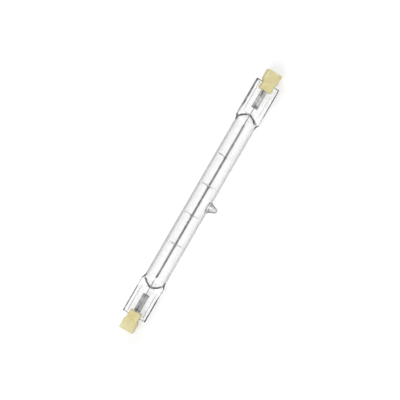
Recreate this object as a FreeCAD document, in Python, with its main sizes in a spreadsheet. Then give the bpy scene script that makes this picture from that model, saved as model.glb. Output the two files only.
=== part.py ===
import FreeCAD, Part
import math
import os
import re

import Sketcher

# Double-ended linear halogen lamp, in millimetres.
#
# The lamp is drawn about its own axis, X, with its two press seals flat in XY and its exhaust tip along -Y.
# Every piece is then rolled about X until tube and tip both touch the ground, which is how the lamp lies when
# it is put down. The origin is the middle of the filament, +X runs to the right-hand cap and +Z is up.

V = FreeCAD.Vector
ALONG = V(1, 0, 0)
ACROSS = FreeCAD.Rotation(V(1, 1, 1), 120)  # lays a flat outline across the lamp's axis

SIZES = (
    ("overall_length", 117.6, "over both caps"),
    ("recess_depth", 1.7, "end of a cap to the face of its contact"),
    ("tube_diameter", 9.0, "outside of the glass tube"),
    ("tube_wall", 1.0, "wall of the glass tube"),
    ("seal_shown", 13.5, "rims of a seal from the shoulder to the legs of the cap"),
    ("shoulder_length", 2.3, "from the straight tube to the rims of a seal"),
    ("shoulder_fade", 5.9, "from the straight tube to where its swelling has sunk into the seal"),
    ("seal_width", 10.1, "over the rims of a seal"),
    ("seal_thickness", 3.4, "through the rims of a seal"),
    ("seal_corner", 0.45, "rounding along the rims"),
    ("seal_taper", 1.7, "length over which the rims thin out at the end of a seal"),
    ("seal_end_thickness", 2.1, "end face of a seal"),
    ("web_width", 7.0, "pressed field between the rims"),
    ("web_thickness", 2.5, "through the pressed field"),
    ("web_setback", 2.5, "from the start of the rims to the pressed field"),
    ("web_sink", 0.15, "how deep the shoulder's last section lies in the web"),
    ("seal_in_cap_left", 2.0, "left seal between the legs of its cap"),
    ("seal_in_cap_right", 3.1, "right seal between the legs of its cap"),
    ("seal_turn_left", -2.5, "twist of the left seal, in degrees"),
    ("seal_turn_right", 9.0, "twist of the right seal, in degrees"),
    ("chamber_width", 8.2, "widest part of the chamber, in a shoulder"),
    ("chamber_floor", 1.3, "from the end of the chamber to where the shoulder has sunk into the seal"),
    ("tip_offset", -0.45, "exhaust tip from the light centre"),
    ("tip_reach", 7.76, "lamp axis to the point of the exhaust tip"),
    ("tip_nose", 1.1, "radius of the tip's melted point"),
    ("tip_base", 5.8, "diameter of the exhaust tip at its root, a wall inside the bore"),
    ("tip_blend", 0.8, "fillet between exhaust tip and tube"),
    ("tip_bore", 1.9, "diameter of the tip's hollow at its root"),
    ("tip_bore_end", 0.8, "diameter of the hollow at its closed end"),
    ("tip_wall", 1.3, "glass between the hollow and the point"),
    ("foil_setback", 3.2, "end of the chamber to a foil"),
    ("foil_length", 7.7, "molybdenum foil"),
    ("foil_width", 2.7, "molybdenum foil"),
    ("foil_thickness", 0.05, "molybdenum foil"),
    ("weld_sink", 0.03, "how far a lead is pressed into its foil"),
    ("inner_lead_diameter", 0.3, "lead between foil and filament"),
    ("inner_lead_offset", 0.13, "inner lead beside the lamp's axis"),
    ("inner_lead_overlap", 1.4, "inner lead on its foil"),
    ("coil_grip", 1.5, "inner lead inside the filament"),
    ("outer_lead_diameter", 0.5, "lead between foil and contact"),
    ("outer_lead_offset", 0.3, "outer lead beside the lamp's axis"),
    ("outer_lead_overlap", 2.4, "outer lead on its foil"),
    ("outer_lead_inset", 0.4, "end of the outer lead below the contact's face"),
    ("filament_overrun", 0.2, "coil past the end of the straight tube"),
    ("filament_diameter", 1.03, "over the coil"),
    ("filament_thickness", 0.13, "coil, measured along its radius"),
    ("filament_gap", 0.35, "between two drawn turns"),
    ("filament_turns", 45, "drawn turns, each for ten or so of the real ones"),
    ("support_wire", 0.2, "wire of a filament support"),
    ("support_pitch", 0.36, "advance of a support's loops"),
    ("support_clearance", 0.03, "between a support and what it touches"),
    ("support_spacing", 13.3, "from one support to the next"),
    ("cap_head", 4.0, "full section of a cap"),
    ("cap_shoulder", 1.1, "slope from head to legs"),
    ("cap_width", 6.0, "head, across the seal"),
    ("cap_depth", 7.0, "head, through the seal"),
    ("cap_corner", 0.7, "rounding along the head"),
    ("cap_edge", 0.25, "broken edge at the outer end"),
    ("leg_width", 5.0, "legs, across the seal"),
    ("leg_depth", 6.4, "over both legs"),
    ("slot_room", 0.4, "slot beyond the longer seal"),
    ("cap_floor", 2.15, "ceramic between slot and contact"),
    ("cement_film", 0.1, "cement between seal and leg"),
    ("cement_inset", 0.15, "cement behind the sides of the legs"),
    ("recess_diameter", 4.2, "mouth that takes the lamp holder's contact"),
    ("contact_diameter", 3.7, "contact button"),
    ("contact_thickness", 0.8, "rim of the contact button"),
    ("contact_face", 2.7, "flat of the button inside its bevel"),
    ("contact_bevel", 0.15, "height of the button's bevel"),
    ("contact_sink", 0.1, "face of the button below the floor of the recess"),
    ("contact_clearance", 0.05, "around the button in its seat"),
    ("shank_diameter", 1.7, "shank behind the contact"),
    ("shank_length", 1.2, "shank behind the contact"),
    ("shank_clearance", 0.1, "around the shank"),
)

SIDES = (("left", -1), ("right", 1))

# Sections of a shoulder outside: share of its length, of its widening to the seal and of its thickness.
SHOULDER = (
    (0.22, 0.20, 0.91),
    (0.48, 0.60, 0.55),
    (0.76, 0.70, 0.17),
    (1.00, 0.55, 0.00),
)

# Sections of the chamber's end: share of its length, of its greatest width and of the bore.
CHAMBER = (
    (0.38, 0.98, 0.85),
    (0.70, 0.72, 0.47),
    (1.00, 0.20, 0.11),
)

COIL_STEPS = 8  # straight pieces in a drawn turn
SUPPORT_STEPS = 10  # straight pieces in one loop of a support
SUPPORT_LOOPS = (1.25, 0.5, 0.6)  # loops round the coil, on the way out and along the tube
SUPPORT_ANGLES = (200.0, 255.0, 20.0, 300.0)  # where the inner end of each support lies, round the axis

doc = FreeCAD.newDocument("linear_halogen_lamp")
sheet = doc.addObject("Spreadsheet::Sheet", "sizes")
for row, (alias, number, note) in enumerate(SIZES, 1):
    sheet.set(f"A{row}", alias)
    sheet.set(f"B{row}", str(number))
    sheet.set(f"C{row}", note)
    sheet.setAlias(f"B{row}", alias)
doc.recompute()

NAMES = {alias for alias, _, _ in SIZES}


def formula(text):
    """A formula over the sheet's sizes, from one that names them plainly."""
    return re.sub(r"[a-z]\w*", lambda word: f"sizes.{word[0]}" if word[0] in NAMES else word[0], str(text))


def value(text):
    """What such a formula gives now."""
    result = sheet.evalExpression(formula(text))
    return float(getattr(result, "Value", result))


def bind(thing, **formulas):
    """Tie properties of an object to the sheet. A double underscore stands for a dot."""
    for name, text in formulas.items():
        thing.setExpression(name.replace("__", "."), formula(text))


LIE = "asin((tube_diameter / 2 - tip_nose) / (tip_reach - tip_nose))"
BORE = "(tube_diameter / 2 - tube_wall)"
CAP_END = "overall_length / 2"
CONTACT_FACE = f"({CAP_END} - recess_depth)"
RECESS_FLOOR = f"({CONTACT_FACE} + contact_sink)"
CONTACT_RIM = f"({CONTACT_FACE} - contact_bevel)"
CONTACT_SEAT = f"({CONTACT_RIM} - contact_thickness)"
SLOT_FLOOR = f"({CONTACT_SEAT} - cap_floor)"
SLOT_DEPTH = "(max(seal_in_cap_left; seal_in_cap_right) + slot_room)"
SLOT_THICKNESS = "(web_thickness + 2 * cement_film)"
LEG_END = f"({SLOT_FLOOR} - {SLOT_DEPTH})"
SEAL_START = f"({LEG_END} - seal_shown)"
TUBE_END = f"({SEAL_START} - shoulder_length)"
CHAMBER_LENGTH = "(shoulder_fade - chamber_floor)"
FOIL_START = f"({TUBE_END} + {CHAMBER_LENGTH} + foil_setback)"
FOIL_TOP = "foil_thickness / 2 - weld_sink"
FILAMENT_END = f"({TUBE_END} + filament_overrun)"


def roll(thing, turn=None):
    """Roll a piece about the lamp's axis to where it lies, with its seal's own twist."""
    thing.Placement = FreeCAD.Placement(V(), FreeCAD.Rotation(ALONG, 1))
    angle = LIE
    if turn:
        angle = f"{LIE} + {turn} * 1 deg"
    bind(thing, Placement__Rotation__Angle=angle)
    return thing


# Outlines

def hold(sketch, geometry, point, x, y):
    """Pin one end of an edge at x, y."""
    for axis, text in (("DistanceX", x), ("DistanceY", y)):
        pinned = sketch.addConstraint(Sketcher.Constraint(axis, -1, 1, geometry, point, value(text)))
        sketch.setExpression(f"Constraints[{pinned}]", formula(text))


def measure(sketch, kind, *ends, size):
    """Give a dimension of the outline its size."""
    made = sketch.addConstraint(Sketcher.Constraint(kind, *ends, value(size)))
    sketch.setExpression(f"Constraints[{made}]", formula(size))


def polygon(sketch, corners):
    """A closed outline of straight edges through corners given as formulas."""
    points = [V(value(x), value(y), 0) for x, y in corners]
    last = len(points) - 1
    for i, point in enumerate(points):
        sketch.addGeometry(Part.LineSegment(point, points[i + 1 if i < last else 0]))
    for i, (x, y) in enumerate(corners):
        sketch.addConstraint(Sketcher.Constraint("Coincident", i, 2, i + 1 if i < last else 0, 1))
        hold(sketch, i, 1, x, y)


def rectangle(sketch, width, height):
    """A rectangle about the middle."""
    w = f"({width}) / 2"
    h = f"({height}) / 2"
    polygon(sketch, ((f"-{w}", f"-{h}"), (w, f"-{h}"), (w, h), (f"-{w}", h)))


def rounded_rectangle(sketch, width, height, corner):
    """A rectangle about the middle with round corners: edges 0, 2, 4, 6 are straight, 1, 3, 5, 7 are arcs."""
    x = value(width) / 2
    y = value(height) / 2
    r = value(corner)
    quarter = math.pi / 2
    centres = ((x - r, r - y, -quarter), (x - r, y - r, 0), (r - x, y - r, quarter), (r - x, r - y, 2 * quarter))
    ends = (
        (V(r - x, -y, 0), V(x - r, -y, 0)),
        (V(x, r - y, 0), V(x, y - r, 0)),
        (V(x - r, y, 0), V(r - x, y, 0)),
        (V(-x, y - r, 0), V(-x, r - y, 0)),
    )
    for (start, end), (cx, cy, turned) in zip(ends, centres):
        circle = Part.Circle(V(cx, cy, 0), V(0, 0, 1), r)
        sketch.addGeometry(Part.LineSegment(start, end))
        sketch.addGeometry(Part.ArcOfCircle(circle, turned, turned + quarter))
    for i in range(8):
        sketch.addConstraint(Sketcher.Constraint("Tangent", i, 2, (i + 1) % 8, 1))
    for i, level in ((0, "Horizontal"), (2, "Vertical"), (4, "Horizontal"), (6, "Vertical")):
        sketch.addConstraint(Sketcher.Constraint(level, i))
    for i in (3, 5, 7):
        sketch.addConstraint(Sketcher.Constraint("Equal", 1, i))
    sketch.addConstraint(Sketcher.Constraint("Symmetric", 0, 1, 4, 1, -1, 1))
    measure(sketch, "DistanceX", 6, 1, 2, 1, size=width)
    measure(sketch, "DistanceY", 0, 1, 4, 1, size=height)
    measure(sketch, "Radius", 1, size=corner)


def disc(sketch, diameter, x="0", y="0"):
    """A circle."""
    sketch.addGeometry(Part.Circle(V(value(x), value(y), 0), V(0, 0, 1), value(diameter) / 2))
    hold(sketch, 0, 3, x, y)
    measure(sketch, "Diameter", 0, size=diameter)


def spout(sketch, root, base, nose, reach):
    """Half of a closed spout along -Y: round base, straight flank and a round nose that meets it smoothly."""
    top = value(root)
    bottom = value(reach)
    r = value(nose)
    wide = value(base) / 2
    lean = math.atan2(wide - r, bottom - r - top)
    touch = V(r * math.cos(lean), r - bottom - r * math.sin(lean), 0)
    points = (V(0, -top, 0), V(wide, -top, 0), touch, V(0, -bottom, 0))
    sketch.addGeometry(Part.LineSegment(points[0], points[1]))
    sketch.addGeometry(Part.LineSegment(points[1], points[2]))
    sketch.addGeometry(Part.ArcOfCircle(Part.Circle(V(0, r - bottom, 0), V(0, 0, 1), r), -math.pi / 2, -lean))
    sketch.addGeometry(Part.LineSegment(points[3], points[0]))
    sketch.addConstraint(Sketcher.Constraint("Coincident", 0, 2, 1, 1))
    sketch.addConstraint(Sketcher.Constraint("Tangent", 1, 2, 2, 2))
    sketch.addConstraint(Sketcher.Constraint("Coincident", 2, 1, 3, 1))
    sketch.addConstraint(Sketcher.Constraint("Coincident", 3, 2, 0, 1))
    hold(sketch, 0, 1, "0", f"-({root})")
    hold(sketch, 0, 2, f"({base}) / 2", f"-({root})")
    hold(sketch, 3, 1, "0", f"-({reach})")
    sketch.addConstraint(Sketcher.Constraint("PointOnObject", 2, 3, -2))
    measure(sketch, "Radius", 2, size=nose)


# Solids of the glass, as blown and pressed forms

def made(kind, name, **formulas):
    """An object of the document with its sizes bound."""
    thing = doc.addObject(kind, name)
    bind(thing, **formulas)
    return thing


def section(name, x, width, thickness):
    """An ellipse across the lamp at x."""
    oval = doc.addObject("Part::Ellipse", name)
    oval.Placement = FreeCAD.Placement(V(), ACROSS)
    oval.MajorRadius = value(width)
    oval.MinorRadius = value(thickness)
    bind(oval, MajorRadius=width, MinorRadius=thickness, Placement__Base__x=x)
    return oval


def loft(name, sections, ruled):
    """A solid through sections, smooth or straight from one to the next."""
    skin = doc.addObject("Part::Loft", name)
    skin.Sections = sections
    skin.Solid = True
    skin.Ruled = ruled
    return skin


def tapering(name, side, radius, length, rows, ruled=False):
    """A tube's end that runs from its round section through the ovals in rows."""
    start = f"{side} * {TUBE_END}"
    sections = [section(f"{name}_0", start, radius, radius)]
    for i, (share, width, thickness) in enumerate(rows, 1):
        sections.append(section(f"{name}_{i}", f"{start} + {side} * {share} * {length}", width, thickness))
    return loft(name, sections, ruled)


def extruded(name, outline, direction, length, symmetric=False):
    """A solid drawn out from a flat outline."""
    solid = doc.addObject("Part::Extrusion", name)
    solid.Base = outline
    solid.DirMode = "Custom"
    solid.Dir = direction
    solid.Solid = True
    solid.Symmetric = symmetric
    bind(solid, LengthFwd=length)
    return solid


def joined(name, pieces):
    """One solid of several."""
    fuse = doc.addObject("Part::MultiFuse", name)
    fuse.Shapes = pieces
    return fuse


def cut(name, base, tool):
    """A solid less another."""
    less = doc.addObject("Part::Cut", name)
    less.Base = base
    less.Tool = tool
    return less


def turned_with_seal(thing, side_name):
    """Give part of the glass the twist of its seal."""
    thing.Placement = FreeCAD.Placement(V(), FreeCAD.Rotation(ALONG, 1))
    bind(thing, Placement__Rotation__Angle=f"seal_turn_{side_name}")
    return thing


def press_seal(name, side):
    """Shoulder and pressed seal of one end: two thick rims along a thinner web, thinned out at its end."""
    reach = f"({LEG_END} + seal_in_cap_{name})"
    flat = "(web_thickness / 2 - web_sink)"
    rows = [
        (
            share,
            f"tube_diameter / 2 + {widening} * (seal_width - tube_diameter) / 2",
            f"{flat} + {thickness} * (tube_diameter / 2 - {flat})",
        )
        for share, widening, thickness in SHOULDER
    ]
    shoulder = tapering(f"shoulder_{name}", side, "tube_diameter / 2", "shoulder_fade", rows)

    across = doc.addObject("Sketcher::SketchObject", f"seal_section_{name}")
    across.Placement = FreeCAD.Placement(V(), ACROSS)
    bind(across, Placement__Base__x=f"{side} * {SEAL_START}")
    rounded_rectangle(across, "seal_width", "seal_thickness", "seal_corner")
    bar = extruded(f"seal_bar_{name}", across, V(side, 0, 0), f"{reach} - {SEAL_START}")

    along = doc.addObject("Sketcher::SketchObject", f"seal_side_{name}")
    along.Placement = FreeCAD.Placement(V(), FreeCAD.Rotation(ALONG, 90))
    full = "seal_thickness / 2"
    end = "seal_end_thickness / 2"
    polygon(
        along,
        [
            (f"{side} * {x}", f"{sign} * {half}")
            for x, sign, half in (
                (SEAL_START, -1, full),
                (f"({reach} - seal_taper)", -1, full),
                (reach, -1, end),
                (reach, 1, end),
                (f"({reach} - seal_taper)", 1, full),
                (SEAL_START, 1, full),
            )
        ],
    )
    wedge = extruded(f"seal_wedge_{name}", along, V(0, 1, 0), "2 * seal_width", symmetric=True)
    pressed = doc.addObject("Part::Common", f"seal_pressed_{name}")
    pressed.Base = bar
    pressed.Tool = wedge

    fields = []
    start = f"{SEAL_START} + web_setback"
    for face, z in (("top", "web_thickness / 2"), ("bottom", "-web_thickness / 2 - seal_thickness")):
        field = made(
            "Part::Box",
            f"web_{face}_{name}",
            Length=f"{reach} - {SEAL_START}",
            Width="web_width",
            Height="seal_thickness",
            Placement__Base__x=f"{start}" if side > 0 else f"-({start}) - ({reach} - {SEAL_START})",
            Placement__Base__y="-web_width / 2",
            Placement__Base__z=z,
        )
        fields.append(field)
    webbed = cut(f"seal_webbed_{name}", pressed, joined(f"web_fields_{name}", fields))
    return turned_with_seal(joined(f"seal_{name}", [shoulder, webbed]), name)


def chamber_end(name, side):
    """Closed end of the chamber, which widens a little in the shoulder and then shuts like a mouth."""
    rows = [
        (share, f"{width} * chamber_width / 2", f"{thickness} * {BORE}") for share, width, thickness in CHAMBER
    ]
    end = tapering(f"chamber_{name}", side, BORE, CHAMBER_LENGTH, rows, ruled=True)
    return turned_with_seal(end, name)


def tube(name, radius):
    """A round bar along the straight part of the lamp."""
    bar = doc.addObject("Part::Cylinder", name)
    bar.Placement = FreeCAD.Placement(V(), FreeCAD.Rotation(V(0, 1, 0), 90))
    bind(bar, Radius=radius, Height=f"2 * {TUBE_END}", Placement__Base__x=f"-{TUBE_END}")
    return bar


def exhaust_tip():
    """The drawn-off exhaust tube as a turned solid beside the lamp's axis."""
    outline = doc.addObject("Sketcher::SketchObject", "tip_outline")
    spout(outline, f"{BORE} - tube_wall", "tip_base", "tip_nose", "tip_reach")
    turned = doc.addObject("Part::Revolution", "tip_outside")
    turned.Source = outline
    turned.Axis = V(0, 1, 0)
    turned.Base = V()
    turned.Angle = 360
    turned.Solid = True
    bind(turned, Placement__Base__x="tip_offset")
    return turned


def tip_hollow():
    """What is left of the exhaust tube's bore: a narrow cone that opens into the chamber."""
    hollow = doc.addObject("Part::Cone", "tip_hollow")
    hollow.Placement = FreeCAD.Placement(V(), FreeCAD.Rotation(ALONG, 90))
    root = f"({BORE} - tube_wall / 3)"
    bind(
        hollow,
        Radius1="tip_bore / 2",
        Radius2="tip_bore_end / 2",
        Height=f"tip_reach - tip_wall - {root}",
        Placement__Base__x="tip_offset",
        Placement__Base__y=f"-{root}",
    )
    return hollow


def blended(outside):
    """Melt the exhaust tip into the tube: a fillet along the line where the two meet."""
    doc.recompute()
    radius = value("tube_diameter / 2")
    offset = value("tip_offset")
    reach = value("tip_base / 2 + tip_wall")
    edges = []
    for i, edge in enumerate(outside.Shape.Edges, 1):
        if edge.Degenerated:
            continue
        spots = edge.discretize(9)
        near = all(abs(p.x - offset) < reach and p.y < 0 for p in spots)
        if near and all(abs(math.hypot(p.y, p.z) - radius) < 1e-4 for p in spots):
            edges.append((i, value("tip_blend"), value("tip_blend")))
    blend = doc.addObject("Part::Fillet", "blended_glass")
    blend.Base = outside
    blend.Edges = edges
    return blend


def blown_glass():
    """Tube, shoulders, press seals and exhaust tip with the chamber inside, before anything is sealed in."""
    outside = [tube("tube_outside", "tube_diameter / 2")]
    inside = [tube("tube_bore", BORE)]
    for name, side in SIDES:
        outside.append(press_seal(name, side))
        inside.append(chamber_end(name, side))
    outside.append(exhaust_tip())
    inside.append(tip_hollow())
    glass = cut("blown_glass", blended(joined("glass_outside", outside)), joined("glass_inside", inside))
    return roll(glass)


# Pieces made as bodies

def new_body(name, turn=None):
    """An empty body that lies as the lamp does."""
    return roll(doc.addObject("PartDesign::Body", name), turn)


def sketch_on(body, name, role, offset=None):
    """A sketch on one of the body's own planes, moved along the plane's normal."""
    sketch = body.newObject("Sketcher::SketchObject", name)
    plane = next(feature for feature in body.Origin.OriginFeatures if feature.Role == role)
    sketch.AttachmentSupport = [(plane, "")]
    sketch.MapMode = "FlatFace"
    if offset:
        sketch.setExpression(".AttachmentOffset.Base.z", formula(offset))
    return sketch


def pad(body, name, sketch, length, reverse=False, symmetric=False):
    """Add what a sketch sweeps out."""
    feature = body.newObject("PartDesign::Pad", name)
    feature.Profile = sketch
    feature.Reversed = reverse
    feature.SideType = "Symmetric" if symmetric else "One side"
    bind(feature, Length=length)
    return feature


def pocket(body, name, sketch, length):
    """Take away what a sketch sweeps out to both sides, and make sure that something went."""
    doc.recompute()
    before = body.Shape.Volume
    feature = body.newObject("PartDesign::Pocket", name)
    feature.Profile = sketch
    feature.SideType = "Symmetric"
    bind(feature, Length=length)
    doc.recompute()
    assert body.Shape.Volume < before, f"{name} takes nothing away"
    return feature


def rod(name, side, turn, diameter, y, z, start, end):
    """A straight piece of wire along the lamp from start to end."""
    body = new_body(name, turn)
    outline = sketch_on(body, f"{name}_round", "YZ_Plane", f"{side} * ({start})")
    disc(outline, diameter, y, z)
    pad(body, f"{name}_wire", outline, f"({end}) - ({start})", reverse=side < 0)
    return body


def seal_foil(name, side, turn):
    """Molybdenum ribbon that carries the current through the seal."""
    body = new_body(f"seal_foil_{name}", turn)
    outline = sketch_on(body, f"foil_outline_{name}", "XY_Plane")
    half = "foil_width / 2"
    start = f"{side} * {FOIL_START}"
    end = f"{side} * ({FOIL_START} + foil_length)"
    polygon(outline, ((start, f"-{half}"), (end, f"-{half}"), (end, half), (start, half)))
    pad(body, f"foil_{name}", outline, "foil_thickness", symmetric=True)
    return body


def lead_pair(name, side, turn, foil):
    """Inner lead, foil to filament, and outer lead, foil to contact, each pressed flat on the foil."""
    inner = rod(
        f"inner_lead_round_{name}",
        side,
        turn,
        "inner_lead_diameter",
        "inner_lead_offset",
        f"{FOIL_TOP} + inner_lead_diameter / 2",
        f"{FILAMENT_END} - coil_grip",
        f"{FOIL_START} + inner_lead_overlap",
    )
    outer = rod(
        f"outer_lead_round_{name}",
        side,
        turn,
        "outer_lead_diameter",
        "outer_lead_offset",
        f"{FOIL_TOP} + outer_lead_diameter / 2",
        f"{FOIL_START} + foil_length - outer_lead_overlap",
        f"{CONTACT_FACE} - outer_lead_inset",
    )
    return cut(f"inner_lead_{name}", inner, foil), cut(f"outer_lead_{name}", outer, foil)


def ceramic_cap(name, side, turn):
    """Steatite cap: a block with a round recess for the contact and two legs that straddle the seal."""
    body = new_body(f"ceramic_cap_{name}", turn)
    head = ("cap_width", "cap_depth", "cap_corner")
    legs = ("leg_width", "leg_depth", "cap_corner")
    edge = ("cap_width - 2 * cap_edge", "cap_depth - 2 * cap_edge", "cap_corner - cap_edge")
    stations = (
        (CAP_END, edge),
        (f"{CAP_END} - cap_edge", head),
        (f"{CAP_END} - cap_head", head),
        (f"{CAP_END} - cap_head - cap_shoulder", legs),
        (LEG_END, legs),
    )
    outlines = []
    for i, (x, outline) in enumerate(stations):
        sketch = sketch_on(body, f"cap_{name}_{i}", "YZ_Plane", f"{side} * ({x})")
        rounded_rectangle(sketch, *outline)
        outlines.append(sketch)
    block = body.newObject("PartDesign::AdditiveLoft", f"cap_block_{name}")
    block.Profile = outlines[0]
    block.Sections = outlines[1:]
    block.Ruled = True

    slot = sketch_on(body, f"slot_{name}", "XZ_Plane")
    open_end = f"{side} * ({LEG_END} - cap_edge)"
    floor = f"{side} * {SLOT_FLOOR}"
    half = f"{SLOT_THICKNESS} / 2"
    polygon(slot, ((open_end, f"-{half}"), (floor, f"-{half}"), (floor, half), (open_end, half)))
    pocket(body, f"cap_slot_{name}", slot, "2 * cap_width")

    bore = sketch_on(body, f"bore_{name}", "XY_Plane")
    mouth = f"{side} * ({CAP_END} + cap_edge)"
    floor = f"{side} * {RECESS_FLOOR}"
    seat = f"{side} * {CONTACT_SEAT}"
    inner = f"{side} * ({SLOT_FLOOR} - cap_edge)"
    polygon(
        bore,
        (
            (mouth, "0"),
            (mouth, "recess_diameter / 2"),
            (floor, "recess_diameter / 2"),
            (floor, "contact_diameter / 2 + contact_clearance"),
            (seat, "contact_diameter / 2 + contact_clearance"),
            (seat, "shank_diameter / 2 + shank_clearance"),
            (inner, "shank_diameter / 2 + shank_clearance"),
            (inner, "0"),
        ),
    )
    doc.recompute()
    before = body.Shape.Volume
    stepped = body.newObject("PartDesign::Groove", f"cap_bore_{name}")
    stepped.Profile = bore
    stepped.ReferenceAxis = (bore, ["H_Axis"])
    stepped.Angle = 360
    doc.recompute()
    assert body.Shape.Volume < before, "the bore takes nothing away"
    return body


def contact_button(name, side, turn, lead):
    """Bevelled contact with a shank that is crimped on the outer lead."""
    body = new_body(f"contact_turned_{name}", turn)
    outline = sketch_on(body, f"contact_outline_{name}", "XY_Plane")
    back = f"{side} * ({CONTACT_SEAT} - shank_length)"
    seat = f"{side} * {CONTACT_SEAT}"
    rim = f"{side} * {CONTACT_RIM}"
    face = f"{side} * {CONTACT_FACE}"
    polygon(
        outline,
        (
            (back, "0"),
            (back, "shank_diameter / 2"),
            (seat, "shank_diameter / 2"),
            (seat, "contact_diameter / 2"),
            (rim, "contact_diameter / 2"),
            (face, "contact_face / 2"),
            (face, "0"),
        ),
    )
    turned = body.newObject("PartDesign::Revolution", f"contact_disc_{name}")
    turned.Profile = outline
    turned.ReferenceAxis = (outline, ["H_Axis"])
    turned.Angle = 360
    return cut(f"contact_button_{name}", body, lead)


def cap_cement(name, side, turn, glass, lead):
    """Cement that fills the cap's slot round the end of the seal."""
    body = new_body(f"cement_block_{name}", turn)
    outline = sketch_on(body, f"cement_outline_{name}", "YZ_Plane", f"{side} * {LEG_END}")
    rectangle(outline, "leg_width - 2 * cement_inset", SLOT_THICKNESS)
    pad(body, f"cement_{name}", outline, SLOT_DEPTH, reverse=side < 0)
    return cut(f"cap_cement_{name}", body, joined(f"in_cement_{name}", [glass, lead]))


# Wound wires

def wound(name, stations, width, thickness):
    """A flat-sided wire wound about the lamp's axis through stations of place, radius and angle."""
    rings = []
    for x, radius, angle in stations:
        out = V(0, math.cos(angle), math.sin(angle))
        corners = [
            V(x + i * width / 2, 0, 0) + out * (radius + j * thickness / 2)
            for i, j in ((-1, -1), (1, -1), (1, 1), (-1, 1))
        ]
        rings.append(Part.makePolygon(corners + corners[:1]))
    wire = doc.addObject("Part::Feature", name)
    wire.Shape = Part.makeLoft(rings, True, True)
    return roll(wire)


def filament():
    """The tungsten coil: a helix along the lamp's axis."""
    count = round(value("filament_turns")) * COIL_STEPS
    pitch = value(f"2 * {FILAMENT_END}") / value("filament_turns")
    width = pitch - value("filament_gap")
    length = value(f"2 * {FILAMENT_END}") - width
    thickness = value("filament_thickness")
    radius = (value("filament_diameter") - thickness) / 2
    stations = [
        (length * (i / count - 0.5), radius, 2 * math.pi * i / COIL_STEPS) for i in range(count + 1)
    ]
    return wound("filament", stations, width, thickness)


def filament_support(number, angle):
    """A spiral of thin wire: loops round the coil, runs out and springs against the tube."""
    wire = value("support_wire")
    clear = value("support_clearance")
    inner = value("filament_diameter") / 2 + wire / 2 + clear
    outer = value(BORE) - wire / 2 - clear
    grip, outward, spring = SUPPORT_LOOPS
    steps = round(sum(SUPPORT_LOOPS) * SUPPORT_STEPS)
    middle = value("support_spacing") * (number - (1 + len(SUPPORT_ANGLES)) / 2)
    first = math.radians(angle)
    stations = []
    for i in range(steps + 1):
        loops = i / SUPPORT_STEPS
        share = min(max((loops - grip) / outward, 0), 1)
        radius = inner + (outer - inner) * (1 - math.cos(math.pi * share)) / 2
        x = middle + value("support_pitch") * (loops - grip)
        stations.append((x, radius, first + 2 * math.pi * loops))
    return wound(f"filament_support_{number}", stations, wire, wire)


def check(pieces):
    """Stop if any object failed or any piece isn't one sound solid."""
    for thing in doc.Objects:
        bad = {"Invalid", "Error"} & set(thing.State)
        assert not bad, f"{thing.Label} is {thing.State}"
    for piece in pieces:
        shape = piece.Shape
        assert not shape.isNull() and shape.isValid(), f"{piece.Label} has no sound shape"
        assert len(shape.Solids) == 1, f"{piece.Label} has {len(shape.Solids)} solids"


def main():
    glass = blown_glass()
    pieces = [filament()]
    pieces += [filament_support(number, angle) for number, angle in enumerate(SUPPORT_ANGLES, 1)]
    sealed_in = []
    for name, side in SIDES:
        turn = f"seal_turn_{name}"
        foil = seal_foil(name, side, turn)
        inner, outer = lead_pair(name, side, turn, foil)
        sealed_in += [foil, inner, outer]
        pieces += [
            foil,
            inner,
            outer,
            ceramic_cap(name, side, turn),
            contact_button(name, side, turn, outer),
            cap_cement(name, side, turn, glass, outer),
        ]
    pieces.append(cut("quartz_envelope", glass, joined("sealed_in", sealed_in)))
    doc.recompute()
    check(pieces)
    os.makedirs("parts", exist_ok=True)
    for piece in pieces:
        piece.Label = piece.Name
        piece.Shape.exportStep(f"parts/{piece.Label}.step")
        box = piece.Shape.BoundBox
        print(f"{piece.Label:22s} {piece.Shape.Volume:9.3f} mm3  x {box.XMin:8.3f} {box.XMax:8.3f}")


main()
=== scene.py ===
import math

import bmesh
import bpy
import numpy as np
from mathutils import Matrix, Vector


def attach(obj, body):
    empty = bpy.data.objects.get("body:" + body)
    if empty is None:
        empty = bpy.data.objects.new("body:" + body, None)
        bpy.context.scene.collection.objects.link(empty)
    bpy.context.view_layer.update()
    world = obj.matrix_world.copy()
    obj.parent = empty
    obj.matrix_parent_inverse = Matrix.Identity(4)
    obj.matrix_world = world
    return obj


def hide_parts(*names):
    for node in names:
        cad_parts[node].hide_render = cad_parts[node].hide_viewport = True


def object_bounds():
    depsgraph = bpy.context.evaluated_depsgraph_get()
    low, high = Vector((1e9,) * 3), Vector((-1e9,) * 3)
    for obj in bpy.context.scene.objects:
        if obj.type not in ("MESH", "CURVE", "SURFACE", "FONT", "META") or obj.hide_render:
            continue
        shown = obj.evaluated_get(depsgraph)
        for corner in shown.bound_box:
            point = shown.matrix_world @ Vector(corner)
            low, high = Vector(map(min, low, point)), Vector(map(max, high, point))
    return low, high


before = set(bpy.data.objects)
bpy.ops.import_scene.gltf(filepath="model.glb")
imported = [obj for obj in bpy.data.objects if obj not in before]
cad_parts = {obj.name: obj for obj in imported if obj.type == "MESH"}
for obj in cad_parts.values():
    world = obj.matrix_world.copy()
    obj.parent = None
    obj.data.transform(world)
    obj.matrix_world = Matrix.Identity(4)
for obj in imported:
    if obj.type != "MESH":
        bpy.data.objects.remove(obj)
cad_box = [list(corner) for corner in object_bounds()]

# The lamp's own frame is in millimetres: X along its axis, the press seals flat in XY and the
# exhaust tip along -Y. Pieces are made in it, then rolled about X to where the lamp lies and
# scaled to metres. Places along the lamp count from the light centre.

MM = 0.001
SIDE = {"left": -1, "right": 1}

TUBE_R = 4.5
TUBE_END = 34.7
BORE_R = 3.5
SHOULDER_LENGTH = 5.9
CHAMBER_END = 39.3

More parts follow.
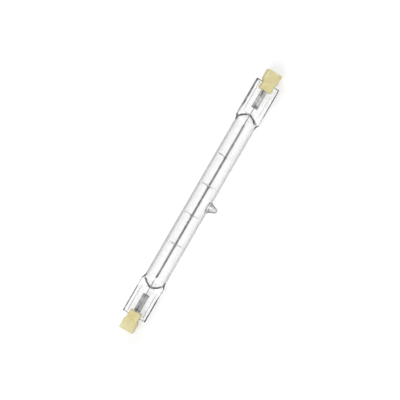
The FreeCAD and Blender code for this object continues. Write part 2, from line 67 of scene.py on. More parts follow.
TIP_X = -0.45
TIP_REACH = 7.76
TIP_NOSE = 1.1
TIP_ROOT = 2.5
TIP_ROOT_R = 2.9
TIP_FILLET = 0.9
HOLLOW_REACH = 6.06
HOLLOW_NOSE = 0.4
HOLLOW_ROOT_R = 0.95

SEAL_END = {"left": 52.5, "right": 53.6}
SEAL_HALF = 5.05
SEAL_WAIST = 0.9
SEAL_CORNER_R = 0.45
SEAL_FILLET = 0.5
RIM_HALF = 1.7
RIM_TAPER = 0.65
WEB_HALF = 1.25
WEB_EDGE = 3.5
WEB_START = 39.5

COIL_D = 1.03
COIL_HALF = 34.9
COIL_TURNS = 412
SUPPORT_SPACING = 13.3
SUPPORT_STARTS = (200.0, 255.0, 20.0, 300.0)

# A cap's legs and head, each as place, half width and half depth, and the bore as place and radius.
CAP_RINGS = ((50.5, 2.5, 3.2), (53.7, 2.5, 3.2), (54.8, 3.0, 3.5), (58.8, 3.0, 3.5))
CAP_CORNER_R = 0.7
CAP_BORE = ((53.8, 0.95), (56.15, 0.95), (56.15, 1.9), (57.2, 1.9), (57.2, 2.1), (59.2, 2.1))
SLOT_HALF = 1.35

# The roll that the lamp lies with, on its tube and its tip, and the twist of each seal.
LIE = math.asin((TUBE_R - TIP_NOSE) / (TIP_REACH - TIP_NOSE))
TURN = {"left": math.radians(-2.5), "right": math.radians(9.0)}


def smoothstep(low, high, x):
    """0 below low, 1 above high and smooth between them."""
    t = np.clip((x - low) / (high - low), 0.0, 1.0)
    return t * t * (3 - 2 * t)


def blend_min(a, b, k):
    """Union of two distance fields with a fillet of about k."""
    h = np.clip(0.5 + 0.5 * (b - a) / k, 0.0, 1.0)
    return b + (a - b) * h - k * h * (1 - h)


def curve(x, knots):
    """A smooth curve through knots, a list of (x, value), with no overshoot."""
    xs, ys = np.array(knots, float).T
    slopes = np.diff(ys) / np.diff(xs)
    tangent = np.zeros(len(xs))
    for i in range(1, len(xs) - 1):
        if slopes[i - 1] * slopes[i] > 0:
            tangent[i] = 2 / (1 / slopes[i - 1] + 1 / slopes[i])
    x = np.clip(x, xs[0], xs[-1])
    i = np.clip(np.searchsorted(xs, x, side="right") - 1, 0, len(xs) - 2)
    span = xs[i + 1] - xs[i]
    t = (x - xs[i]) / span
    return (
        ys[i] * (1 + 2 * t) * (1 - t) ** 2
        + tangent[i] * span * t * (1 - t) ** 2
        + ys[i + 1] * t * t * (3 - 2 * t)
        + tangent[i + 1] * span * t * t * (t - 1)
    )


def laid(points, turn=0.0):
    """Points of the lamp's frame where they lie, in metres."""
    points = np.asarray(points, float)
    angle = LIE + turn
    c, s = np.cos(angle), np.sin(angle)
    x, y, z = points[..., 0], points[..., 1], points[..., 2]
    return np.stack([x, y * c - z * s, y * s + z * c], axis=-1) * MM


def shade(mesh, material, sharp=None):
    """Shade a mesh smoothly with one material. Edges over sharp, in degrees, stay hard."""
    mesh.polygons.foreach_set("use_smooth", [True] * len(mesh.polygons))
    if sharp:
        mesh.set_sharp_from_angle(angle=math.radians(sharp))
    mesh.materials.clear()
    mesh.materials.append(material)


def piece(name, verts, faces, material, nodes, sharp=None, tones=None):
    """A finished object that stands for CAD nodes. tones are named values at its points."""
    mesh = bpy.data.meshes.new(name)
    mesh.from_pydata([tuple(v) for v in verts], [], [tuple(f) for f in faces])
    for tone, values in (tones or {}).items():
        attribute = mesh.attributes.new(tone, "FLOAT", "POINT")
        attribute.data.foreach_set("value", np.ravel(values).astype(np.float32))
    mesh.validate()
    shade(mesh, material, sharp)
    obj = bpy.data.objects.new(name, mesh)
    bpy.context.scene.collection.objects.link(obj)
    return dressed(obj, nodes)


def dressed(obj, nodes):
    """Tie a finished object to the lamp, in place of the CAD nodes it stands for, which are hidden.
    """
    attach(obj, "root")
    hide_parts(*nodes)
    return obj


# Materials

def new_material(name):
    """An empty node material with its output."""
    mat = bpy.data.materials.new(name)
    mat.use_nodes = True
    tree = mat.node_tree
    tree.nodes.clear()
    out = tree.nodes.new("ShaderNodeOutputMaterial")
    return mat, tree, out


def add(tree, kind, inputs=None, **settings):
    """A node with its settings and its inputs, each a number, a colour or another node's socket."""
    node = tree.nodes.new(kind)
    for key, setting in settings.items():
        setattr(node, key, setting)
    for key, given in (inputs or {}).items():
        if isinstance(given, bpy.types.NodeSocket):
            tree.links.new(given, node.inputs[key])
        else:
            node.inputs[key].default_value = given
    return node


def maths(tree, operation, *values, clamp=False):
    """A number worked out from values, each a number or a socket."""
    return add(
        tree, "ShaderNodeMath", dict(enumerate(values)), operation=operation, use_clamp=clamp
    ).outputs[0]


def remap(tree, value, low, high, start=0.0, end=1.0):
    """A value taken from the range start to end into the range low to high."""
    ranges = {"From Min": start, "From Max": end, "To Min": low, "To Max": high}
    return add(tree, "ShaderNodeMapRange", {"Value": value, **ranges}).outputs["Result"]


def mixed(tree, share, first, second, blend_type="MIX"):
    """A blend of two colours."""
    colours = {"Color1": first, "Color2": second}
    return add(
        tree, "ShaderNodeMixRGB", {"Fac": share, **colours}, blend_type=blend_type
    ).outputs["Color"]


def noise(tree, scale, detail=3.0, stretch=(1, 1, 1)):
    """Fine noise that is fixed to the piece. Its scale is per metre."""
    where = add(tree, "ShaderNodeTexCoord").outputs["Object"]
    mapped = add(tree, "ShaderNodeMapping", {"Vector": where, "Scale": stretch}).outputs["Vector"]
    return add(
        tree, "ShaderNodeTexNoise", {"Vector": mapped, "Scale": scale, "Detail": detail}
    ).outputs["Fac"]


def ramp(tree, fac, stops):
    """A colour ramp through stops, each a place and a colour."""
    node = add(tree, "ShaderNodeValToRGB", {"Fac": fac})
    elements = node.color_ramp.elements
    while len(elements) < len(stops):
        elements.new(0.5)
    for element, (place, colour) in zip(elements, stops):
        element.position = place
        element.color = (*colour, 1)
    return node.outputs["Color"]


def grey(level):
    """A neutral colour."""
    return (level, level, level)


def bump(tree, height, strength, distance):
    """A normal from a height. distance is in metres."""
    return add(
        tree, "ShaderNodeBump", {"Height": height, "Strength": strength, "Distance": distance}
    ).outputs["Normal"]


def metal(name, dark, light, roughness, grain, stretch=(1, 1, 1), lift=0.2):
    """Drawn or rolled metal whose tone and finish vary along its grain."""
    mat, tree, out = new_material(name)
    streaks = noise(tree, grain, 4.0, stretch)
    shader = add(
        tree,
        "ShaderNodeBsdfPrincipled",
        {
            "Base Color": ramp(tree, streaks, ((0.3, dark), (0.7, light))),
            "Metallic": 1.0,
            "Roughness": remap(tree, streaks, roughness - 0.08, roughness + 0.1),
            "Normal": bump(tree, streaks, lift, 0.00005),
        },
    )
    tree.links.new(shader.outputs["BSDF"], out.inputs["Surface"])
    return mat


def toned(mat, axis, start, end, colour):
    """Blend a metal's tone into another from start to end, in millimetres.

    Along X they count outwards on both sides, along Y or Z as they are where the lamp lies.
    """
    tree = mat.node_tree
    shader = next(node for node in tree.nodes if node.type == "BSDF_PRINCIPLED")
    plain = shader.inputs["Base Color"].links[0].from_socket
    where = add(tree, "ShaderNodeTexCoord").outputs["Object"]
    place = add(tree, "ShaderNodeSeparateXYZ", {"Vector": where}).outputs[axis]
    if axis == "X":
        place = maths(tree, "ABSOLUTE", place)
    share = remap(tree, place, 0.0, 1.0, start * MM, end * MM)
    tree.links.new(mixed(tree, share, plain, (*colour, 1)), shader.inputs["Base Color"])
    return mat


def quartz():
    """Clear fused quartz with painted shade: greyer where seen at a slant and along painted dark
    lines at the press creases.
    """
    mat, tree, out = new_material("clear_quartz")
    slant_shade, shade_line, pressed = [
        add(tree, "ShaderNodeAttribute", attribute_name=tone).outputs["Fac"]
        for tone in ("slant_shade", "shade_line", "pressed")
    ]
    # Painted shade: the glass greys, reflects less and lets less light through where it is seen at
    # a slant, as much as each point's slant tone asks. It does the same along the painted dark
    # lines, which vary a little in strength.
    facing = add(tree, "ShaderNodeLayerWeight", {"Blend": 0.5}).outputs["Facing"]
    steps = ((0.04, 0.0), (0.16, 0.05), (0.34, 0.14), (0.44, 0.32), (0.56, 0.56))
    grazing_shade = ramp(tree, facing, [(place, grey(level)) for place, level in steps])
    uneven = remap(tree, noise(tree, 620.0, 2.0), 0.80, 1.25, 0.40, 0.60)
    shade_line = maths(tree, "MULTIPLY", shade_line, uneven)
    dark = maths(tree, "MULTIPLY_ADD", grazing_shade, slant_shade, shade_line, clamp=True)
    haze = maths(tree, "MULTIPLY", noise(tree, 900.0, 3.0), pressed)
    clear = ramp(tree, haze, ((0.0, grey(0.985)), (0.34, grey(0.96)), (0.62, grey(0.88))))
    drawn = noise(tree, 260.0, 2.0, (0.06, 1, 1))
    glass = add(
        tree,
        "ShaderNodeBsdfPrincipled",
        {
            "Base Color": mixed(tree, dark, clear, (*grey(0.05), 1)),
            "Roughness": 0.0,
            "IOR": 1.459,
            "Specular IOR Level": remap(tree, dark, 0.5, 0.08, start=0.5),
            "Transmission Weight": remap(tree, dark, 1.0, 0.25),
            "Normal": bump(tree, drawn, 0.06, 0.00003),
        },
    )
    through = add(tree, "ShaderNodeBsdfTransparent", {"Color": (*grey(0.93), 1)})
    is_shadow = add(tree, "ShaderNodeLightPath").outputs["Is Shadow Ray"]
    mix = add(tree, "ShaderNodeMixShader", {"Fac": is_shadow})
    tree.links.new(glass.outputs["BSDF"], mix.inputs[1])
    tree.links.new(through.outputs["BSDF"], mix.inputs[2])
    tree.links.new(mix.outputs["Shader"], out.inputs["Surface"])
    return mat


def steatite():
    """Matt pale yellow ceramic with fine grain and faint mottling."""
    mat, tree, out = new_material("pale_yellow_steatite")
    mottle = noise(tree, 420.0, 4.0)
    grain = noise(tree, 5200.0, 2.0)
    base = ramp(
        tree,
        mottle,
        ((0.32, (0.70, 0.61, 0.29)), (0.5, (0.77, 0.69, 0.37)), (0.68, (0.82, 0.76, 0.46))),
    )
    specks = ramp(tree, grain, ((0.30, grey(0.72)), (0.42, grey(1.0))))
    shader = add(
        tree,
        "ShaderNodeBsdfPrincipled",
        {
            "Base Color": mixed(tree, 0.35, base, specks, "MULTIPLY"),
            "Roughness": remap(tree, mottle, 0.62, 0.82),
            "Normal": bump(tree, grain, 0.35, 0.00004),
            "Subsurface Weight": 0.12,
            "Subsurface Radius": (0.0006, 0.0005, 0.0003),
            "Subsurface Scale": 1.0,
        },
    )
    tree.links.new(shader.outputs["BSDF"], out.inputs["Surface"])
    return mat


def cement():
    """Rough, slightly porous cement."""
    mat, tree, out = new_material("cement")
    lumps = noise(tree, 1500.0, 5.0)
    base = ramp(tree, lumps, ((0.35, (0.62, 0.58, 0.46)), (0.65, (0.80, 0.77, 0.66))))
    shader = add(
        tree,
        "ShaderNodeBsdfPrincipled",
        {
            "Base Color": base,
            "Roughness": 0.9,
            "Normal": bump(tree, lumps, 0.6, 0.0001),
        },
    )
    tree.links.new(shader.outputs["BSDF"], out.inputs["Surface"])
    return mat


GLASS = quartz()
CERAMIC = steatite()
CEMENT = cement()
WIRE = (0.14, 0.14, 0.145)
TUNGSTEN = metal(
    "tungsten_coil", grey(0.02), (0.50, 0.50, 0.51), 0.5, 2600.0, (0.5, 0.15, 0.15)
)
SUPPORT = toned(
    metal("support_wire", WIRE, (0.26, 0.26, 0.265), 0.45, 7000.0),
    "Y", -0.9, -1.6, (0.86, 0.86, 0.87),
)
LEAD = metal("lead_wire", WIRE, (0.24, 0.24, 0.245), 0.5, 5200.0, (0.15, 1, 1))
INNER_LEAD = toned(
    metal("inner_lead_wire", grey(0.01), grey(0.05), 0.8, 2600.0, (0.4, 1, 1)),
    "X", CHAMBER_END, CHAMBER_END + 0.5, (0.30, 0.30, 0.31),
)
FOIL = {
    end: toned(
        metal(f"molybdenum_foil_{end}", grey(low), grey(high), 0.72, 1500.0, (0.45, 1, 1), 0.35),
        "X", 44.2, 42.7, (0.26, 0.26, 0.265),
    )
    for end, low, high in (("left", 0.24, 0.58), ("right", 0.30, 0.80))
}
CONTACT = metal("contact_metal", (0.50, 0.48, 0.45), (0.68, 0.66, 0.62), 0.38, 2600.0)


# Glass

def shoulder_widths(x):
    """Half width and half thickness of a shoulder's oval at distance x from the light centre."""
    share = (x - TUBE_END) / SHOULDER_LENGTH
    flat = WEB_HALF - 0.15
    wide = curve(share, ((0, 0), (0.22, 0.20), (0.48, 0.60), (0.76, 0.70), (1.0, 0.55)))
    thick = curve(share, ((0, 1), (0.22, 0.91), (0.48, 0.55), (0.76, 0.17), (1.0, 0)))
    return TUBE_R + wide * (SEAL_HALF - TUBE_R), flat + thick * (TUBE_R - flat)


def seal_half(far):
    """Half width of a seal, which comes out of its shoulder narrower."""
    return SEAL_HALF - SEAL_WAIST * (1 - smoothstep(35.6, 37.4, far))


def rim_half(far, end):
    """Half thickness of a seal's rims, which thin out at its end."""
    return RIM_HALF - RIM_TAPER * smoothstep(end - 1.7, end + 0.05, far)


def tip_field(x, y, z, root, root_r, nose_at, nose_r):
    """Distance to a cone along -Y with a round nose."""
    away = np.hypot(x - TIP_X, z)
    down = -y - nose_at
    length = nose_at - root
    lean = math.acos(nose_r / math.hypot(root_r, length)) - math.atan2(length, root_r)
    flank = away * math.cos(lean) + down * math.sin(lean) - nose_r
    ball = np.hypot(away, down) - nose_r
    return np.maximum(np.where(down > away * math.tan(lean), ball, flank), y + root)


def outside_field(x, y, z, end):
    """Distance to the outside of the glass, in the untwisted frame."""
    apart = 6
    far = np.abs(x)
    wide, thick = shoulder_widths(far)
    oval = (np.hypot(y / wide, z / thick) - 1) * np.minimum(wide, thick)
    oval = oval + apart * smoothstep(TUBE_END + 5.6, TUBE_END + SHOULDER_LENGTH, far)

    sunk = smoothstep(WEB_EDGE + 0.16, WEB_EDGE - 0.16, np.abs(y))
    sunk = sunk * smoothstep(WEB_START - 0.2, WEB_START + 0.35, far)
    deep = np.minimum(rim_half(far, end), RIM_HALF - (RIM_HALF - WEB_HALF) * sunk)
    qy = np.abs(y) - (seal_half(far) - SEAL_CORNER_R)
    qz = np.abs(z) - (deep - SEAL_CORNER_R)
    bar = np.hypot(np.maximum(qy, 0), np.maximum(qz, 0)) + np.minimum(np.maximum(qy, qz), 0)
    bar = bar - SEAL_CORNER_R + apart * (1 - smoothstep(35.4, 35.9, far))

    tip = tip_field(x, y, z, TIP_ROOT, TIP_ROOT_R, TIP_REACH - TIP_NOSE, TIP_NOSE)
    fillet = SEAL_FILLET - 0.48 * smoothstep(38.6, 40.3, far)
    return blend_min(blend_min(oval, bar, fillet), tip, TIP_FILLET)


def chamber_widths(x):
    """Half width and half thickness of the chamber at distance x."""
    share = np.clip((x - TUBE_END) / (CHAMBER_END - TUBE_END), 0, 1)
    shut = np.sqrt(np.clip(1 - share ** 12, 0, 1))
    wide = curve(share, ((0, BORE_R), (0.38, 4.02), (0.7, 2.95), (1.0, 1.1)))
    thick = BORE_R * curve(share, ((0, 1), (0.38, 0.85), (0.7, 0.47), (1.0, 0.13)))
    return np.maximum(wide * shut, 0.02), np.maximum(thick * shut, 0.012)


def inside_field(x, y, z, end):
    """Distance to the chamber, with what is left of the exhaust tube's bore."""
    wide, thick = chamber_widths(np.abs(x))
    oval = (np.hypot(y / wide, z / thick) - 1) * np.minimum(wide, thick)
    hollow = tip_field(x, y, z, BORE_R - 0.33, HOLLOW_ROOT_R, HOLLOW_REACH, HOLLOW_NOSE)
    return blend_min(oval, hollow, 0.35)


def shell(stations, bases, angles, flats, field, ends):
    """Points of a skin: rays from a flat core outwards, met with the field.

    stations are places along the lamp, bases the core's half width at each. Each ring has a fan of
    rays at the +Y end, flats rays up, a fan at the -Y end and flats rays down.
    """
    rows = len(stations)
    plus, minus = angles
    upper, lower = plus[plus >= 0], plus[plus < 0]
    straight = np.full(flats, math.pi / 2)
    up = np.concatenate([upper, straight, minus, -straight, lower])
    share = (np.arange(flats) + 1) / (flats + 1)
    start = np.concatenate([
        np.ones(len(upper)), 1 - 2 * share, -np.ones(len(minus)), 2 * share - 1, np.ones(len(lower))
    ])
    x = np.repeat(stations[:, None], len(up), 1)
    base = bases[:, None] * start[None, :]
    dy = np.repeat(np.cos(up)[None, :], rows, 0)
    dz = np.repeat(np.sin(up)[None, :], rows, 0)
    end = np.repeat(ends[:, None], len(up), 1)
    low = np.zeros_like(x)
    high = np.full_like(x, np.nan)
    reach, step, halvings = 9.0, 0.2, 26
    for t in np.arange(reach, -step / 2, -step):
        inside = (field(x, base + dy * t, dz * t, end) < 0) & np.isnan(high)
        low[inside] = t
        high[inside] = t + step
    high = np.where(np.isnan(high), step, high)
    for _ in range(halvings):
        mid = (low + high) / 2
        inside = field(x, base + dy * mid, dz * mid, end) < 0
        low = np.where(inside, mid, low)
        high = np.where(inside, high, mid)
    t = (low + high) / 2
    return np.stack([x, base + dy * t, dz * t], axis=-1)


def outside_tones(grid, ends):
    """How much painted shade each point of the outside takes at a slant, and painted dark lines on
    the seals, the chamber's ends and the tube.
    """
    far, wide, high = np.abs(grid[..., 0]), np.abs(grid[..., 1]), np.abs(grid[..., 2])
    down = -grid[..., 1]
    end = np.repeat(np.abs(ends)[:, None], grid.shape[1], 1)
    # Weights for the painted shade at a slant: stronger at the tip, on the rims' side walls and at
    # the seals' corners, weaker on the webs.
    tip = smoothstep(TUBE_R + 0.1, TUBE_R + 0.6, down) * (far < 4)
    seal = smoothstep(35.0, 36.8, far)
    web = smoothstep(4.1, 3.8, wide) * smoothstep(38.6, 39.0, far)
    flat = smoothstep(0.70, 0.80, high / rim_half(far, end))
    wall = smoothstep(4.5, 4.8, wide) * smoothstep(37.2, 42.0, far) * (1 - flat)
    corner = smoothstep(35.0, 35.7, far) * smoothstep(37.5, 37.0, far) * smoothstep(3.7, 4.1, wide)
    slant_shade = 1.0 - 0.1 * seal - 0.9 * web + 1.8 * tip + 2.4 * wall + 2.0 * corner

    # Painted dark lines on the flats of the rims, broader on the side that a seal's twist turns up.
    turn = np.where(grid[..., 0] < 0, TURN["left"], TURN["right"])
    twist = np.abs(np.sin(turn))
    seen = grid[..., 1] * np.cos(turn) - grid[..., 2] * np.sin(turn)
    edge = np.maximum(shoulder_widths(np.minimum(far, 38))[0], seal_half(far))
    outer = edge * np.cos(turn) + RIM_HALF * twist
    band = np.where(seen * turn > 0, 0.50 + 2.7 * twist, 0.48)
    rim_shade = smoothstep(outer - band - 0.08, outer - band + 0.08, np.abs(seen))
    faint = smoothstep(37.0, 37.8, far) * smoothstep(42.0, 40.4, far)
    rim_shade = rim_shade * smoothstep(35.6, 36.0, far) * (1 - 0.65 * faint) * flat

    # A painted dark arc over each end of the chamber, stronger on the +Z half.
    half, _ = chamber_widths(far)
    ahead, _ = chamber_widths(far + 0.01)
    off = np.abs(np.abs(seen - 2.2 * np.sin(turn)) - 0.9 * half)
    off = off / np.hypot(1, (ahead - half) / 0.01)
    top = smoothstep(-0.5, 0.5, grid[..., 2])
    arch_shade = smoothstep(0.45, 0.18, off) * smoothstep(36.4, 37.2, far)
    arch_shade = arch_shade * smoothstep(CHAMBER_END + 0.2, CHAMBER_END, far)
    arch_shade = arch_shade * (0.15 + 0.72 * top)

    # A painted dark line at the seal's last edge, and faint painted shade along the tube's +Y side
    # on its +Z half.
    last = 0.85 * smoothstep(end - 0.42, end - 0.32, far) * smoothstep(end, end - 0.1, far) * flat
    side = 0.065 * smoothstep(-0.4, 1.6, -down) + 0.035 * smoothstep(2.4, 3.8, -down)
    side = side * top * (1 - seal)
    # All the painted dark lines, with a little painted shade over the tip.
    shade_line = np.maximum.reduce([rim_shade, arch_shade, last, side, 0.12 * tip])
    return {"slant_shade": slant_shade, "shade_line": shade_line, "pressed": smoothstep(36.5, 40.5, far)}


def inside_tones(grid):
    """The same painted shade at a slant for the chamber and for the hollow of the tip, with no
    painted lines.
    """
    far = np.abs(grid[..., 0])
    hollow = smoothstep(BORE_R + 0.3, BORE_R + 0.8, -grid[..., 1]) * (far < 4)
    return {"slant_shade": 0.05 + 0.45 * hollow, "shade_line": 0.0 * far, "pressed": 0.0 * far}


def twisted(grid):
    """The grid where it lies, each ring with the twist of its own seal."""
    x = grid[:, 0, 0]
    turn = np.where(x < 0, TURN["left"], TURN["right"]) * smoothstep(20.0, 33.0, np.abs(x))
    return laid(grid, turn[:, None])


def grid_faces(rows, ring, first, inward=False):
    """Quads between rings of points, and a face at each end."""
    faces = []
    for i in range(rows - 1):
        for j in range(ring):
            k = (j + 1) % ring
            a, b = first + i * ring + j, first + i * ring + k
            quad = (a, b, b + ring, a + ring)
            faces.append(quad[::-1] if inward else quad)
    start = tuple(range(first, first + ring))
    last = tuple(range(first + (rows - 1) * ring, first + rows * ring))
    faces.append(start if inward else start[::-1])
    faces.append(last[::-1] if inward else last)
    return faces


def spaced(*runs):
    """Places along the lamp: each run is start, end and a step, and they follow each other."""
    places = [runs[0][0]]
    for start, end, step in runs:
        count = max(1, round((end - start) / step))
        places += [start + (end - start) * (i + 1) / count for i in range(count)]
    return np.array(places)


def outside_stations(name, fine):
    """Places from the tip out to one end, close together at the tip, the shoulder and the end."""
    tip, end = SIDE[name] * TIP_X, SEAL_END[name]
    return spaced(
        (tip, tip + 3.2, 0.09), (tip + 3.2, 34.5, 1.4), (34.5, 43.0, 0.17), (43.0, fine, 0.6),
        (fine, end - 0.5, 0.25), (end - 0.5, end, 0.1),
    )


def fans(count, reach, near_count, wing_start, wing_count):
    """Angles of a ring's rays in its fan at the +Y end, and at the -Y end, closer at the tip."""
    plus = np.radians(np.linspace(-90, 90, count))
    near = np.radians(np.linspace(-reach, reach, near_count))
    wing = np.radians(np.linspace(wing_start, 90, wing_count))
    return plus, np.sort(math.pi - np.concatenate([-wing, near, wing]))


def envelope():
    """The blown quartz: tube, shoulders, press seals and exhaust tip outside, chamber inside."""
    left, right = outside_stations("left", 50.4), outside_stations("right", 51.5)
    stations = np.concatenate([-left[::-1], right[1:]])
    ends = np.where(stations < 0, SEAL_END["left"], SEAL_END["right"])
    bases = 2.0 + 1.9 * smoothstep(33.0, 38.0, np.abs(stations))
    grid = shell(stations, bases, fans(37, 56, 71, 57.5, 9), 44, outside_field, ends)
    outer = twisted(grid)
    rows, ring = outer.shape[:2]
    faces = grid_faces(rows, ring, 0)

    away = spaced(
        (0, 2.0, 0.07), (2.0, 34.0, 1.6), (34.0, 38.4, 0.16), (38.4, 39.2, 0.06),
        (39.2, 39.296, 0.02),
    )[1:]
    shift = TIP_X * (away < 2.6)
    stations = np.concatenate([(shift - away)[::-1], [TIP_X], away + shift])
    far = np.abs(stations)
    wide, _ = chamber_widths(far)
    bases = np.minimum(1.5, 0.72 * wide) + smoothstep(34.0, 37.0, far) * np.minimum(1.2, 0.1 * wide)
    none = np.zeros_like(stations)
    inner = shell(stations, bases, fans(25, 42, 57, 46, 12), 18, inside_field, none)
    in_tones = inside_tones(inner)
    inner = twisted(inner)
    in_rows, in_ring = inner.shape[:2]
    faces += grid_faces(in_rows, in_ring, rows * ring, inward=True)
    verts = np.concatenate([outer.reshape(-1, 3), inner.reshape(-1, 3)])
    tones = {
        tone: np.concatenate([values.ravel(), in_tones[tone].ravel()])
        for tone, values in outside_tones(grid, ends).items()
    }
    return piece(
        "quartz_glass", verts, faces, GLASS, ["quartz_envelope"],
        sharp=40, tones=tones,
    )


# Wires

def swept(path, out, radius, sides):
    """Points and faces of a round wire along path. out is a direction across it at each point."""
    along = np.gradient(path, axis=0)
    along /= np.linalg.norm(along, axis=1)[:, None]
    out = out - along * np.sum(out * along, axis=1)[:, None]
    out /= np.linalg.norm(out, axis=1)[:, None]
    side = np.cross(along, out)
    angle = 2 * np.pi * np.arange(sides) / sides
    c, s = np.cos(angle)[None, :, None], np.sin(angle)[None, :, None]
    rings = path[:, None, :] + radius * (c * out[:, None, :] + s * side[:, None, :])
    count = len(path)
    faces = []
    for i in range(count - 1):
        for j in range(sides):
            k = (j + 1) % sides
            a, b = i * sides + j, i * sides + k
            faces.append((a, b, b + sides, a + sides))
    faces.append(tuple(range(sides))[::-1])
    faces.append(tuple(range((count - 1) * sides, count * sides)))
    return rings.reshape(-1, 3), faces


def around(x, radius, angle):
    """Points about the lamp's axis and the directions out from it."""
    zero = np.zeros_like(x)
    out = np.stack([zero, np.cos(angle), np.sin(angle)], axis=-1)
    return out * radius[:, None] + np.stack([x, zero, zero], axis=-1), out


def filament():
    """The tungsten coil, wound turn by turn."""
    wire = 0.11
    half = COIL_HALF - wire / 2
    count = COIL_TURNS * 14
    share = np.arange(count + 1) / count
    x = -half + 2 * half * share
    angle = 2 * np.pi * COIL_TURNS * share
    path, out = around(x, np.full(count + 1, (COIL_D - wire) / 2), angle)
    verts, faces = swept(path, out, wire / 2, 6)
    return piece("filament_coil", laid(verts), faces, TUNGSTEN, ["filament"])


def support(number, first):
    """A support of round wire: loops round the coil, runs out and springs against the tube."""
    wire, clear, pitch = 0.2, 0.03, 0.36
    grip, outward, spring = 1.25, 0.5, 0.6
    inner = COIL_D / 2 + wire / 2 + clear
    outer = BORE_R - wire / 2 - clear
    middle = SUPPORT_SPACING * (number - 2.5)
    loops = np.linspace(0, grip + outward + spring, 120)
    share = np.clip((loops - grip) / outward, 0, 1)
    radius = inner + (outer - inner) * (1 - np.cos(np.pi * share)) / 2
    angle = math.radians(first) + 2 * np.pi * loops
    path, out = around(middle + pitch * (loops - grip), radius, angle)
    verts, faces = swept(path, out, wire / 2, 10)
    name, node = f"support_spiral_{number}", f"filament_support_{number}"
    return piece(name, laid(verts), faces, SUPPORT, [node])


# Ceramic caps

def rounded_ring(x, half_y, half_z, corner, steps):
    """Points round a rounded rectangle across the lamp at x."""
    ring = []
    for sy, sz, start in ((1, 1, 0), (-1, 1, 90), (-1, -1, 180), (1, -1, 270)):
        for i in range(steps + 1):
            angle = math.radians(start + 90 * i / steps)
            y = sy * (half_y - corner) + corner * math.cos(angle)
            z = sz * (half_z - corner) + corner * math.sin(angle)
            ring.append((x, y, z))
    return ring


def solid(name, rings):
    """A closed object through rings of points, in millimetres of the lamp's frame."""
    verts = [point for points in rings for point in points]
    mesh = bpy.data.meshes.new(name)
    mesh.from_pydata(verts, [], grid_faces(len(rings), len(rings[0]), 0))
    mesh.validate()
    obj = bpy.data.objects.new(name, mesh)
    bpy.context.scene.collection.objects.link(obj)
    work = bmesh.new()
    work.from_mesh(mesh)
    bmesh.ops.recalc_face_normals(work, faces=work.faces)
    work.to_mesh(mesh)
    work.free()
    return obj


def turned(name, profile, steps=64):
    """A closed round object about the lamp's axis from a profile of places and radii."""
    angles = [2 * math.pi * i / steps for i in range(steps)]
    rings = [[(x, r * math.cos(a), r * math.sin(a)) for a in angles] for x, r in profile]
    return solid(name, rings)


def apply_modifiers(obj):
    """Leave an object with the mesh that its modifiers give."""
    depsgraph = bpy.context.evaluated_depsgraph_get()
    mesh = bpy.data.meshes.new_from_object(obj.evaluated_get(depsgraph))
    obj.modifiers.clear()
    obj.data = mesh


def ceramic_cap(name):
    """A cap with softened edges: head, shoulder and two legs, with slot, recess and seat cut in."""
    side = SIDE[name]
    rings = [rounded_ring(side * x, y, z, CAP_CORNER_R, 6) for x, y, z in CAP_RINGS]
    cap = solid(f"cap_{name}", rings)
    section = [(y, z * SLOT_HALF) for y, z in ((-4, -1), (4, -1), (4, 1), (-4, 1))]
    slot = solid("slot_cutter", [[(side * x, y, z) for y, z in section] for x in (50.0, 54.0)])
    bore = turned("bore_cutter", [(side * x, r) for x, r in CAP_BORE])
    for cutter in (slot, bore):
        cut = cap.modifiers.new("cut", "BOOLEAN")
        cut.operation = "DIFFERENCE"
        cut.solver = "EXACT"
        cut.object = cutter
    apply_modifiers(cap)
    for cutter in (slot, bore):
        bpy.data.objects.remove(cutter)
    soften = cap.modifiers.new("soften", "BEVEL")
    soften.width = 0.16
    soften.segments = 3
    soften.limit_method = "ANGLE"
    soften.angle_limit = math.radians(35)
    apply_modifiers(cap)
    mesh = cap.data
    points = np.empty(len(mesh.vertices) * 3)
    mesh.vertices.foreach_get("co", points)
    mesh.vertices.foreach_set("co", laid(points.reshape(-1, 3), TURN[name]).ravel())
    shade(mesh, CERAMIC, sharp=40)
    return dressed(cap, [f"ceramic_cap_{name}"])


def carried_over(node, material):
    """A CAD node that stays, with its finish."""
    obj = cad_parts[node]
    obj.data.materials.clear()
    obj.data.materials.append(material)


# Studio

def by_sight(tree, out, seen, unseen):
    """One shader for rays that see, directly, by a gloss or through glass, one for all others."""
    light = add(tree, "ShaderNodeLightPath").outputs
    looked_at = maths(tree, "MAXIMUM", light["Is Camera Ray"], light["Is Glossy Ray"])
    looked_at = maths(tree, "MAXIMUM", looked_at, light["Is Transmission Ray"])
    mix = add(tree, "ShaderNodeMixShader", {"Fac": looked_at})
    tree.links.new(unseen, mix.inputs[1])
    tree.links.new(seen, mix.inputs[2])
    tree.links.new(mix.outputs["Shader"], out.inputs["Surface"])


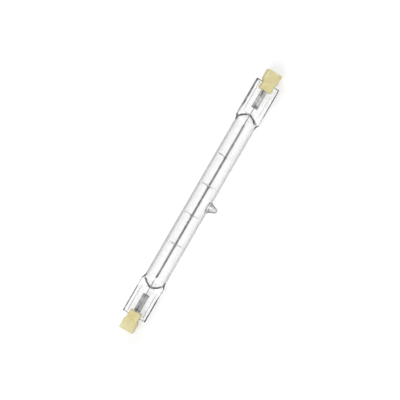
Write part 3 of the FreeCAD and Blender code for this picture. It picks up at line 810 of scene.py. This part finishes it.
def studio():
    """Pale floor, soft light from above and a white surround."""
    ground = cad_box[0][2]
    size = 3.0
    mesh = bpy.data.meshes.new("floor")
    corners = [(x * size, y * size, ground) for x, y in ((-1, -1), (1, -1), (1, 1), (-1, 1))]
    mesh.from_pydata(corners, [], [(0, 1, 2, 3)])
    floor = bpy.data.objects.new("floor", mesh)
    bpy.context.scene.collection.objects.link(floor)
    mat, tree, out = new_material("pale_floor")
    plain = add(tree, "ShaderNodeBsdfDiffuse", {"Color": (*grey(0.8), 1)})
    soft = add(tree, "ShaderNodeBsdfDiffuse", {"Color": (*grey(0.5), 1)})
    glow = add(tree, "ShaderNodeEmission", {"Color": (*grey(1), 1), "Strength": 0.56})
    both = add(tree, "ShaderNodeAddShader")
    tree.links.new(soft.outputs["BSDF"], both.inputs[0])
    tree.links.new(glow.outputs["Emission"], both.inputs[1])
    by_sight(tree, out, both.outputs["Shader"], plain.outputs["BSDF"])
    mesh.materials.append(mat)

    world = bpy.data.worlds.new("studio")
    bpy.context.scene.world = world
    world.use_nodes = True
    tree = world.node_tree
    tree.nodes.clear()
    out = tree.nodes.new("ShaderNodeOutputWorld")
    where = add(tree, "ShaderNodeTexCoord").outputs["Generated"]
    height = add(tree, "ShaderNodeSeparateXYZ", {"Vector": where}).outputs["Z"]
    sky = ramp(tree, height, ((0.0, grey(0.42)), (0.35, grey(0.62)), (0.8, grey(0.9))))
    lit = add(tree, "ShaderNodeBackground", {"Color": sky, "Strength": 0.64})
    white = add(tree, "ShaderNodeBackground", {"Color": (*grey(1), 1), "Strength": 1.0})
    by_sight(tree, out, white.outputs["Background"], lit.outputs["Background"])

    for name, place, power, wide in (
        ("key", (-0.45, -0.35, 0.75), 3.8, 0.5),
        ("fill", (0.55, 0.25, 0.7), 1.9, 0.6),
    ):
        lamp = bpy.data.lights.new(name, "AREA")
        lamp.energy = power
        lamp.size = wide
        obj = bpy.data.objects.new(name, lamp)
        obj.location = place
        obj.rotation_euler = Vector(place).to_track_quat("Z", "Y").to_euler()
        bpy.context.scene.collection.objects.link(obj)


def camera():
    """A long lens straight down on the flats of the seals, with the right-hand end up."""
    view = bpy.data.cameras.new("camera")
    view.sensor_width = 36.0
    view.lens = 180.0
    view.clip_start = 0.01
    view.clip_end = 20.0
    framed = 0.1583
    distance = framed * view.lens / view.sensor_width
    pixel = framed / 400
    lean = math.radians(60)
    across = Vector((0, math.cos(LIE), math.sin(LIE)))
    right = Vector((math.cos(lean), 0, 0)) - across * math.sin(lean)
    up = Vector((math.sin(lean), 0, 0)) + across * math.cos(lean)
    back = right.cross(up)
    place = Matrix((right, up, back)).transposed().to_4x4()
    place.translation = right * (-0.3 * pixel) + up * (1.3 * pixel) + back * distance
    obj = bpy.data.objects.new("camera", view)
    obj.matrix_world = place
    bpy.context.scene.collection.objects.link(obj)
    bpy.context.scene.camera = obj


camera()
studio()
envelope()
filament()
for number, first in enumerate(SUPPORT_STARTS, 1):
    support(number, first)
for end in ("left", "right"):
    ceramic_cap(end)
    carried_over(f"inner_lead_{end}", INNER_LEAD)
    carried_over(f"outer_lead_{end}", LEAD)
    carried_over(f"seal_foil_{end}", FOIL[end])
    carried_over(f"contact_button_{end}", CONTACT)
    carried_over(f"cap_cement_{end}", CEMENT)

bpy.context.scene.view_settings.view_transform = "Standard"
